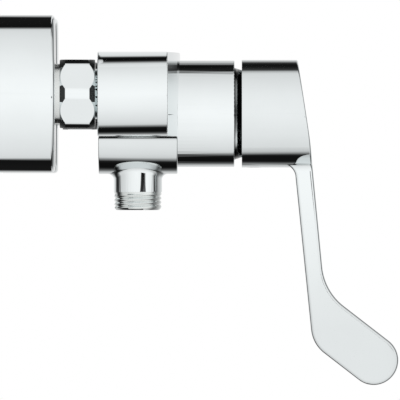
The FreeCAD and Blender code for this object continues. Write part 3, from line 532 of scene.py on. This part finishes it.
crisp_sleeve(cad_form("mixer_body_smooth", "mixer_body", sharp_degrees=12.0),
             sleeve_from=body_back + 5.0 * MM, rims_from=ring_back - 6.0 * MM)
# the cover ring gets its chrome with painted shade and painted reflection
with_own_material(cad_form("cover_ring_smooth", "cover_ring"), gap_ring_painted_shade)
# the lever gets its chrome with painted shade
with_own_material(cad_form("lever_handle_smooth", "lever_handle"), lever_chrome_painted_shade)
outlet_with_thread()
for side in sides:
    cad_form(f"wall_rosette_{side}_smooth", f"wall_rosette_{side}", sharp_degrees=24.0)
    cad_form(f"wall_union_{side}_smooth", f"wall_union_{side}")
    with_own_material(cad_form(f"inlet_nipple_{side}_smooth", f"inlet_nipple_{side}"), neck_chrome)
    nut = cad_form(f"union_nut_{side}_smooth", f"union_nut_{side}", sharp_degrees=14.0)
    # painted shade on the nut's turned corners
    paint_shade_on_bevels(nut, f"union_nut_{side}")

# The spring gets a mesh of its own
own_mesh(cad_form("check_valve_spring_coil", "check_valve_spring"))


# Camera, floor and light

photo_width = 400
mm_per_pixel = 0.44
inlet_axis_row = 94.4  # the photo row that the inlet axis lies on
photo_side = photo_width * mm_per_pixel * MM
sensor_width = 36.0
camera_distance = 7.333
near_side_y = -0.040
middle_x = photo_side / 2.0
middle_z = inlet_z + (inlet_axis_row - photo_width / 2.0) * mm_per_pixel * MM

camera_data = bpy.data.cameras.new("camera")
camera_data.sensor_width = sensor_width
camera_data.lens = sensor_width * camera_distance / photo_side
camera_data.clip_start = 0.1
camera_data.clip_end = 60.0
camera = bpy.data.objects.new("camera", camera_data)
camera.location = (middle_x, near_side_y - camera_distance, middle_z)
camera.rotation_euler = (math.radians(90.0), 0.0, 0.0)
bpy.context.scene.collection.objects.link(camera)
bpy.context.scene.camera = camera


def pale_floor():
    """A plain pale floor well below the mixer, fading out towards its edges."""
    floor_z, half = handle_low[2] - 0.25, 3.0
    fade_start, fade_width = 1.0, 1.6
    corners = [(-half, -half, floor_z), (half, -half, floor_z), (half, half, floor_z), (-half, half, floor_z)]
    mesh = bpy.data.meshes.new("floor")
    mesh.from_pydata(corners, [], [(0, 1, 2, 3)])
    floor = bpy.data.objects.new("floor", mesh)
    bpy.context.scene.collection.objects.link(floor)
    material, nodes = new_material("pale_floor")
    distance = nodes.add("ShaderNodeVectorMath", operation="LENGTH")
    nodes.join(nodes.object_place(), distance.inputs[0])
    beyond = nodes.math("SUBTRACT", distance.outputs["Value"], fade_start)
    pale = nodes.add("ShaderNodeBsdfDiffuse")
    pale.inputs["Color"].default_value = (0.9, 0.9, 0.9, 1.0)
    clear = nodes.add("ShaderNodeBsdfTransparent")
    fade = nodes.math("MULTIPLY", beyond, 1.0 / fade_width, clamp=True)
    nodes.surface(nodes.mixed(fade, pale.outputs[0], clear.outputs[0]))
    mesh.materials.append(material)
    floor.visible_glossy = False


# What polished metal mirrors, as (degrees from the lens's own direction, level): upwards and downwards,
# and to the camera's right and left. Dark cloth hangs in a ring round the mixer.
mirrored_up_down = [
    (-180, 212), (-160, 200), (-150, 187), (-142, 125), (-137, 85), (-130, 35), (-125, 14), (-112, 15),
    (-105, 28), (-98, 143), (-93, 205), (-85, 216), (-75, 222), (-60, 229), (-45, 236), (-30, 241), (0, 248),
    (30, 242), (45, 237), (60, 230), (75, 223), (86, 217), (94, 211), (99, 176), (106, 48), (110.5, 30),
    (121, 17), (128, 14), (132, 46), (142, 155), (152, 199), (180, 210),
]
mirrored_left_right = [
    (-180, 235), (-150, 228), (-135, 203), (-126, 110), (-119, 36), (-110, 36), (-103, 70), (-97, 106),
    (-91, 165), (-85, 207), (-73, 211), (-61, 220), (-40, 236), (-20, 243), (0, 245), (18, 240),
    (35, 242), (46, 248), (57, 243), (68, 236), (74, 210), (79, 165), (86, 78), (97, 74), (106, 130),
    (120, 185), (152, 215), (180, 222),
]
# What the round forms mirror instead, where a cloth hangs for them, as (degrees from the lens, level)
mirrored_by_outlet = [
    (14.5, 232), (17, 60), (18.5, 12), (29, 12), (33, 110), (38, 225),
]
mirrored_by_cup = [
    (4, 248), (21, 245), (36, 240), (52, 236), (73, 229), (85, 226), (103, 219), (109, 212), (112, 130),
    (115, 18), (138, 22), (149, 20), (153, 60), (158, 160), (176, 225),
]
mirrored_by_bar_end = [
    (80, 228), (91, 214), (96, 150), (101, 45), (106, 12), (113, 8), (118, 24), (122, 80), (127, 200),
    (134, 222), (160, 226), (176, 228),
]
mirrored_above_cap = [
    (86, 219), (96, 213), (103, 176), (107, 84), (110, 50), (118, 30), (126, 17), (137, 30), (143, 75),
    (150, 150), (160, 198), (176, 215),
]
mirrored_below_cap = [
    (78, 214), (83, 205), (89, 194), (94.5, 142), (100, 40), (104, 17), (124, 18), (129, 50), (134, 112),
    (146, 182), (160, 205), (176, 215),
]
chrome_share = 0.82  # the plate's share of the light that it mirrors, made up for in what it sees
matt_light = 0.85


def studio_world():
    """White to the camera, even light on matt pieces, and for metal a pale studio with a ring of dark cloth.

    Metal sees the ramp of left and right by the share of a direction's sideways square in the sum of its
    sideways and upright squares, and the ramp of up and down by the rest.
    """
    tiny = 0.000001  # keeps that sum above nothing
    world = bpy.data.worlds.new("studio")
    bpy.context.scene.world = world
    world.use_nodes = True
    world.node_tree.nodes.clear()
    nodes = Nodes(world.node_tree)
    x, y, z = nodes.split(nodes.add("ShaderNodeTexCoord").outputs["Generated"])
    from_lens = nodes.math("ARCCOSINE", nodes.math("MULTIPLY", y, -1.0))

    def levels(side, stops):
        """The ramp of levels, read at the angle from the lens with the sign of one coordinate."""
        signed = nodes.math("MULTIPLY", from_lens, nodes.math("SIGN", side))
        share = nodes.math("ADD", nodes.math("MULTIPLY", signed, 1.0 / TURN), 0.5)
        return nodes.ramp(share, [((degrees + 180.0) / 360.0, linear(level)) for degrees, level in stops])

    def background(strength):
        node = nodes.add("ShaderNodeBackground")
        node.inputs["Color"].default_value = WHITE
        node.inputs["Strength"].default_value = strength
        return node

    sideways = nodes.math("MULTIPLY", x, x)
    upright = nodes.math("MULTIPLY", z, z)
    both = nodes.math("ADD", nodes.math("ADD", sideways, upright), tiny)
    mirrored = nodes.add("ShaderNodeMix", data_type="RGBA")
    nodes.join(nodes.math("DIVIDE", sideways, both), mirrored.inputs[0])
    nodes.join(levels(z, mirrored_up_down), mirrored.inputs[6])
    nodes.join(levels(x, mirrored_left_right), mirrored.inputs[7])
    seen_by_metal = background(1.0 / chrome_share)
    nodes.join(mirrored.outputs[2], seen_by_metal.inputs["Color"])
    rays = nodes.add("ShaderNodeLightPath").outputs
    lit = nodes.mixed(rays["Is Glossy Ray"], background(matt_light).outputs[0], seen_by_metal.outputs[0])
    seen = nodes.mixed(rays["Is Camera Ray"], lit, background(1.0).outputs[0])
    nodes.surface(seen, "ShaderNodeOutputWorld")


def hung_cloth(name, strip, form, stops, side=1.0, upright=False, distance=0.33):
    """A long cloth hung in an arc round a form of the part, one strip of the studio that only metal sees.

    form is the middle y, middle z and radius of the round form whose mirror image it fills, or the middle y,
    middle x and radius of an upright one, and strip is where it lies along the form. A ray that the form's
    skin sends on at an angle from the lens meets the cloth where a chord along that angle ends, so the stops
    are moved there one by one, and the strip is moved along the form as the lens sees it. The distance is
    from the form's axis, well clear of the part and above the floor.
    """
    middle_y, middle_other, form_r = form
    spans = 48
    places = []
    for degrees, level in stops:
        lean = math.radians(180.0 - degrees) / 2.0
        skin_y, skin_z = -form_r * math.sin(lean), form_r * math.cos(lean)
        chord = math.sqrt(distance ** 2 - skin_z ** 2) + skin_y
        end_y = skin_y + chord * math.cos(2.0 * lean)
        end_z = skin_z + chord * math.sin(2.0 * lean)
        places.append((math.atan2(end_z, -end_y), level))
    turn = np.linspace(places[0][0], places[-1][0], spans + 1)
    arc = [(-distance * math.cos(angle), side * distance * math.sin(angle)) for angle in turn]
    lens_middle = middle_z if upright else middle_x
    spread = [place + (place - lens_middle) * distance / camera_distance for place in strip]
    if upright:
        points = [(other, y, place) for place in spread for y, other in arc]
    else:
        points = [(place, y, other) for place in spread for y, other in arc]
    mesh = bpy.data.meshes.new(name)
    mesh.from_pydata(points, [], [(i, i + 1, i + spans + 2, i + spans + 1) for i in range(spans)])
    cloth = bpy.data.objects.new(name, mesh)
    cloth.location = (middle_other, middle_y, 0.0) if upright else (0.0, middle_y, middle_other)
    bpy.context.scene.collection.objects.link(cloth)
    material, nodes = new_material(name)
    x, y, z = nodes.split(nodes.object_place())
    aside = nodes.math("ABSOLUTE", x if upright else z)
    turned = nodes.math("ARCTAN2", aside, nodes.math("MULTIPLY", y, -1.0))
    shades = [(place / math.pi, linear(level)) for place, level in places]
    glow = nodes.add("ShaderNodeEmission")
    glow.inputs["Strength"].default_value = 1.0 / chrome_share
    nodes.join(nodes.ramp(nodes.math("MULTIPLY", turned, 1.0 / math.pi), shades), glow.inputs["Color"])
    nodes.surface(glow.outputs[0])
    mesh.materials.append(material)
    for unseen in ("camera", "diffuse", "shadow", "transmission", "volume_scatter"):
        setattr(cloth, f"visible_{unseen}", False)


def backdrop_cloths():
    """The strips of backdrop that the near wall cup, the bar's near end, the cap and the outlet mirror."""
    cup = (near_leg_y, inlet_z, float(rosette_high[2] - rosette_low[2]) / 2.0)
    cup_x = (float(rosette_low[0]) - 5.0 * MM, body_back - 1.0 * MM)
    hung_cloth("backdrop_above_cup", cup_x, cup, mirrored_by_cup)
    hung_cloth("backdrop_below_cup", cup_x, cup, mirrored_by_cup, side=-1.0)
    bar_x = (body_back - 4.0 * MM, body_back + 30.6 * MM)
    hung_cloth("backdrop_above_bar", bar_x, (near_leg_y, inlet_z, bar_end_r), mirrored_by_bar_end)
    cap = (0.0, float(handle_high[2]) - cap_r, cap_r)
    cap_x = (handle_back - 0.5 * MM, handle_back + 34.0 * MM)
    hung_cloth("backdrop_above_cap", cap_x, cap, mirrored_above_cap)
    hung_cloth("backdrop_below_cap", cap_x, cap, mirrored_below_cap, side=-1.0)
    outlet_foot = float(outlet_low[2])
    hung_cloth("backdrop_beside_outlet", (outlet_foot, outlet_foot + 20.0 * MM), (0.0, outlet_x, stub_r),
               mirrored_by_outlet, upright=True, distance=0.55)


def soft_lamp():
    """One large soft lamp above the camera's left, for a soft shadow on the floor."""
    data = bpy.data.lights.new("soft_lamp", "AREA")
    data.shape = "DISK"
    data.size = 1.6
    data.energy = 14.0
    lamp = bpy.data.objects.new("soft_lamp", data)
    lamp.location = (-0.6, -1.2, 1.8)
    aim = np.array([middle_x, 0.0, middle_z]) - np.array(lamp.location)
    tilt = math.acos(-aim[2] / np.linalg.norm(aim))
    lamp.rotation_euler = (tilt, 0.0, math.atan2(aim[1], aim[0]) - math.pi / 2.0)
    lamp.visible_glossy = False
    bpy.context.scene.collection.objects.link(lamp)


pale_floor()
studio_world()
backdrop_cloths()
soft_lamp()
bpy.context.scene.view_settings.view_transform = "Standard"
